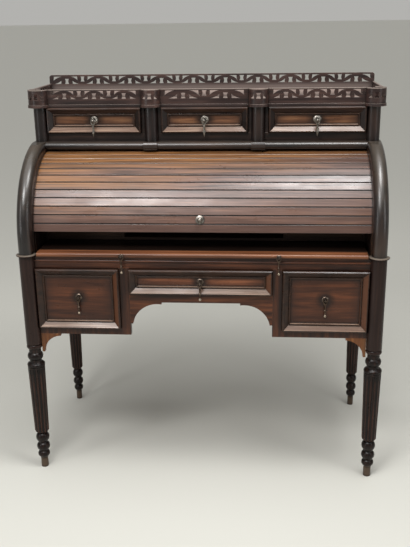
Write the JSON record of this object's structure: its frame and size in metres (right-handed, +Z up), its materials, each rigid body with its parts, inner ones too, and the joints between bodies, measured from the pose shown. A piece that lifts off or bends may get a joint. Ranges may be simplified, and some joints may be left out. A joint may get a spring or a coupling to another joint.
{
  "type": "cylinder desk",
  "caption": "Cylinder writing desk with a rolling slatted front, pull-out writing board, drawers with drop pulls, turned fluted legs and pierced galleries.",
  "frame": {"origin": "on the floor under the middle of the desk", "axes": "+X to the sitter's right, -Y the front, +Z up"},
  "size_m": [1.196, 0.5739, 1.306],
  "materials": {
    "ebonised": "ebonised and polished",
    "walnut": "dark stained and waxed",
    "slide_wood": "worn waxed wood",
    "tambour_wood": "satin wax",
    "plain_wood": "bare planed wood",
    "canvas": "woven canvas",
    "aged_brass": "aged, greyed",
    "dark_bronze": "dark patina, bright at the tip"
  },
  "bodies": {
    "carcass": {"front_legs": "ebonised", "rear_legs": "ebonised", "cylinder_rims": "ebonised", "corner_columns": "ebonised", "pilasters": "ebonised", "upper_plinth": "ebonised", "roof_board": "ebonised", "front_gallery": "ebonised", "side_galleries": "ebonised", "rear_gallery": "ebonised", "case_sides": "walnut", "frieze_rail": "walnut", "drawer_frame": "walnut", "kneehole_apron": "walnut", "leg_brackets": "walnut", "cylinder_ends": "walnut", "upper_frame": "walnut", "case_back": "plain_wood", "stage_back": "plain_wood", "kneehole_partitions": "plain_wood", "drawer_bearers": "plain_wood", "case_deck": "plain_wood", "fitment_boards": "plain_wood"},
    "writing_slide": {"writing_slide": "slide_wood", "slide_pull_mounts": "dark_bronze"},
    "slide_pull_left": {"slide_pull_left": "dark_bronze"},
    "slide_pull_right": {"slide_pull_right": "dark_bronze"},
    "tambour": {"tambour_slats": "tambour_wood", "tambour_canvas": "canvas", "tambour_knob": "aged_brass"},
    "inner_drawer_left": {"inner_drawer_left": "plain_wood", "inner_knob_left": "aged_brass"},
    "inner_drawer_right": {"inner_drawer_right": "plain_wood", "inner_knob_right": "aged_brass"},
    "left_drawer": {"left_drawer_front": "walnut", "left_drawer_box": "plain_wood", "left_drawer_pull_mount": "dark_bronze"},
    "left_drawer_pull": {"left_drawer_pull_drop": "dark_bronze"},
    "right_drawer": {"right_drawer_front": "walnut", "right_drawer_box": "plain_wood", "right_drawer_pull_mount": "dark_bronze"},
    "right_drawer_pull": {"right_drawer_pull_drop": "dark_bronze"},
    "centre_drawer": {"centre_drawer_front": "walnut", "centre_drawer_box": "plain_wood", "centre_drawer_pull_mount": "dark_bronze"},
    "centre_drawer_pull": {"centre_drawer_pull_drop": "dark_bronze"},
    "upper_left_drawer": {"upper_left_drawer_front": "walnut", "upper_left_drawer_box": "plain_wood", "upper_left_drawer_pull_mount": "aged_brass"},
    "upper_left_drawer_pull": {"upper_left_drawer_pull_drop": "aged_brass"},
    "upper_centre_drawer": {"upper_centre_drawer_front": "walnut", "upper_centre_drawer_box": "plain_wood", "upper_centre_drawer_pull_mount": "aged_brass"},
    "upper_centre_drawer_pull": {"upper_centre_drawer_pull_drop": "aged_brass"},
    "upper_right_drawer": {"upper_right_drawer_front": "walnut", "upper_right_drawer_box": "plain_wood", "upper_right_drawer_pull_mount": "aged_brass"},
    "upper_right_drawer_pull": {"upper_right_drawer_pull_drop": "aged_brass"}
  },
  "joints": [
    {"name": "tambour_roll", "type": "hinge", "parent": "carcass", "child": "tambour", "pos_m": [0, 0.016, 0.824], "axis": [-1, 0, 0], "range_deg": [-13.2, 60]},
    {"name": "writing_slide_pull", "type": "slide", "parent": "carcass", "child": "writing_slide", "axis": [0, -1, 0], "range_m": [0, 0.22]},
    {"name": "slide_pull_left_swing", "type": "hinge", "parent": "writing_slide", "child": "slide_pull_left", "pos_m": [-0.25, -0.276, 0.7808], "axis": [-1, 0, 0], "range_deg": [0, 80]},
    {"name": "inner_drawer_left_slide", "type": "slide", "parent": "carcass", "child": "inner_drawer_left", "axis": [0, -1, 0], "range_m": [0, 0.085]},
    {"name": "slide_pull_right_swing", "type": "hinge", "parent": "writing_slide", "child": "slide_pull_right", "pos_m": [0.25, -0.276, 0.7808], "axis": [-1, 0, 0], "range_deg": [0, 80]},
    {"name": "inner_drawer_right_slide", "type": "slide", "parent": "carcass", "child": "inner_drawer_right", "axis": [0, -1, 0], "range_m": [0, 0.085]},
    {"name": "left_drawer_slide", "type": "slide", "parent": "carcass", "child": "left_drawer", "axis": [0, -1, 0], "range_m": [0, 0.36]},
    {"name": "left_drawer_pull_swing", "type": "hinge", "parent": "left_drawer", "child": "left_drawer_pull", "pos_m": [-0.3995, -0.264, 0.6365], "axis": [-1, 0, 0], "range_deg": [0, 80]},
    {"name": "right_drawer_slide", "type": "slide", "parent": "carcass", "child": "right_drawer", "axis": [0, -1, 0], "range_m": [0, 0.36]},
    {"name": "right_drawer_pull_swing", "type": "hinge", "parent": "right_drawer", "child": "right_drawer_pull", "pos_m": [0.3995, -0.264, 0.6365], "axis": [-1, 0, 0], "range_deg": [0, 80]},
    {"name": "centre_drawer_slide", "type": "slide", "parent": "carcass", "child": "centre_drawer", "axis": [0, -1, 0], "range_m": [0, 0.36]},
    {"name": "centre_drawer_pull_swing", "type": "hinge", "parent": "centre_drawer", "child": "centre_drawer_pull", "pos_m": [0, -0.277, 0.6925], "axis": [-1, 0, 0], "range_deg": [0, 80]},
    {"name": "upper_left_drawer_slide", "type": "slide", "parent": "carcass", "child": "upper_left_drawer", "axis": [0, -1, 0], "range_m": [0, 0.17]},
    {"name": "upper_left_drawer_pull_swing", "type": "hinge", "parent": "upper_left_drawer", "child": "upper_left_drawer_pull", "pos_m": [-0.375, -0.003, 1.1735], "axis": [-1, 0, 0], "range_deg": [0, 80]},
    {"name": "upper_centre_drawer_slide", "type": "slide", "parent": "carcass", "child": "upper_centre_drawer", "axis": [0, -1, 0], "range_m": [0, 0.17]},
    {"name": "upper_centre_drawer_pull_swing", "type": "hinge", "parent": "upper_centre_drawer", "child": "upper_centre_drawer_pull", "pos_m": [0, -0.003, 1.1735], "axis": [-1, 0, 0], "range_deg": [0, 80]},
    {"name": "upper_right_drawer_slide", "type": "slide", "parent": "carcass", "child": "upper_right_drawer", "axis": [0, -1, 0], "range_m": [0, 0.17]},
    {"name": "upper_right_drawer_pull_swing", "type": "hinge", "parent": "upper_right_drawer", "child": "upper_right_drawer_pull", "pos_m": [0.375, -0.003, 1.1735], "axis": [-1, 0, 0], "range_deg": [0, 80]}
  ]
}
